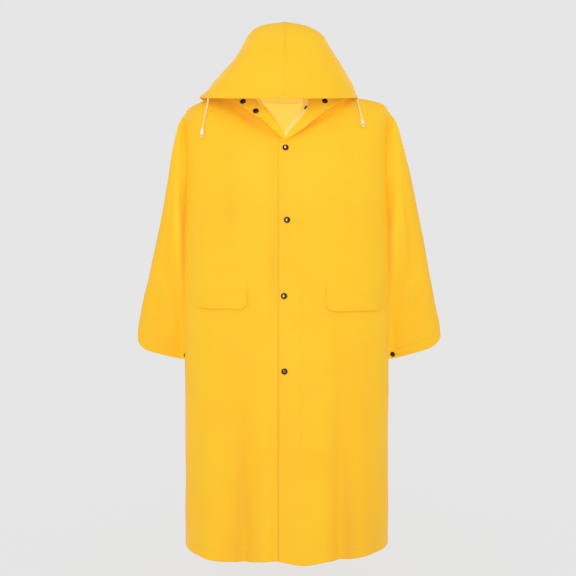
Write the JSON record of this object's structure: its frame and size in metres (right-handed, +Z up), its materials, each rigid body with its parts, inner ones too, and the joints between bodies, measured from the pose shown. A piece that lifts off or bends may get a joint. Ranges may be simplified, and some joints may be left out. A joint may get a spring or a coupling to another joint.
{
  "type": "hooded raincoat",
  "caption": "Long hooded raincoat, hollow and filled out as worn, open at neck, cuffs and hem, with pocket flaps and hood drawcord.",
  "frame": {"origin": "base of the neck, midway between the shoulders, where the wearer holds the coat up", "axes": "+Z up, the coat faces -Y, +X is the wearer's left"},
  "size_m": [0.835, 0.3903, 1.4114],
  "materials": {
    "coated_cloth": "satin coated cloth",
    "snap_cap": "glossy",
    "cord": "braided, matt",
    "cord_end": "smooth moulded"
  },
  "bodies": {
    "root": {"front_left": "coated_cloth", "front_right": "coated_cloth", "back": "coated_cloth", "sleeve_left": "coated_cloth", "sleeve_right": "coated_cloth", "collar": "coated_cloth", "hood_left": "coated_cloth", "hood_right": "coated_cloth", "pocket_flap_left": "coated_cloth", "pocket_flap_right": "coated_cloth", "snap_front_1": "snap_cap", "snap_front_2": "snap_cap", "snap_front_3": "snap_cap", "snap_front_4": "snap_cap", "snap_collar_1": "snap_cap", "snap_collar_2": "snap_cap", "snap_collar_3": "snap_cap", "snap_collar_4": "snap_cap", "snap_cuff_left": "snap_cap", "snap_cuff_right": "snap_cap", "cord_left": "cord", "cord_right": "cord", "cord_end_left": "cord_end", "cord_end_right": "cord_end"}
  },
  "joints": []
}
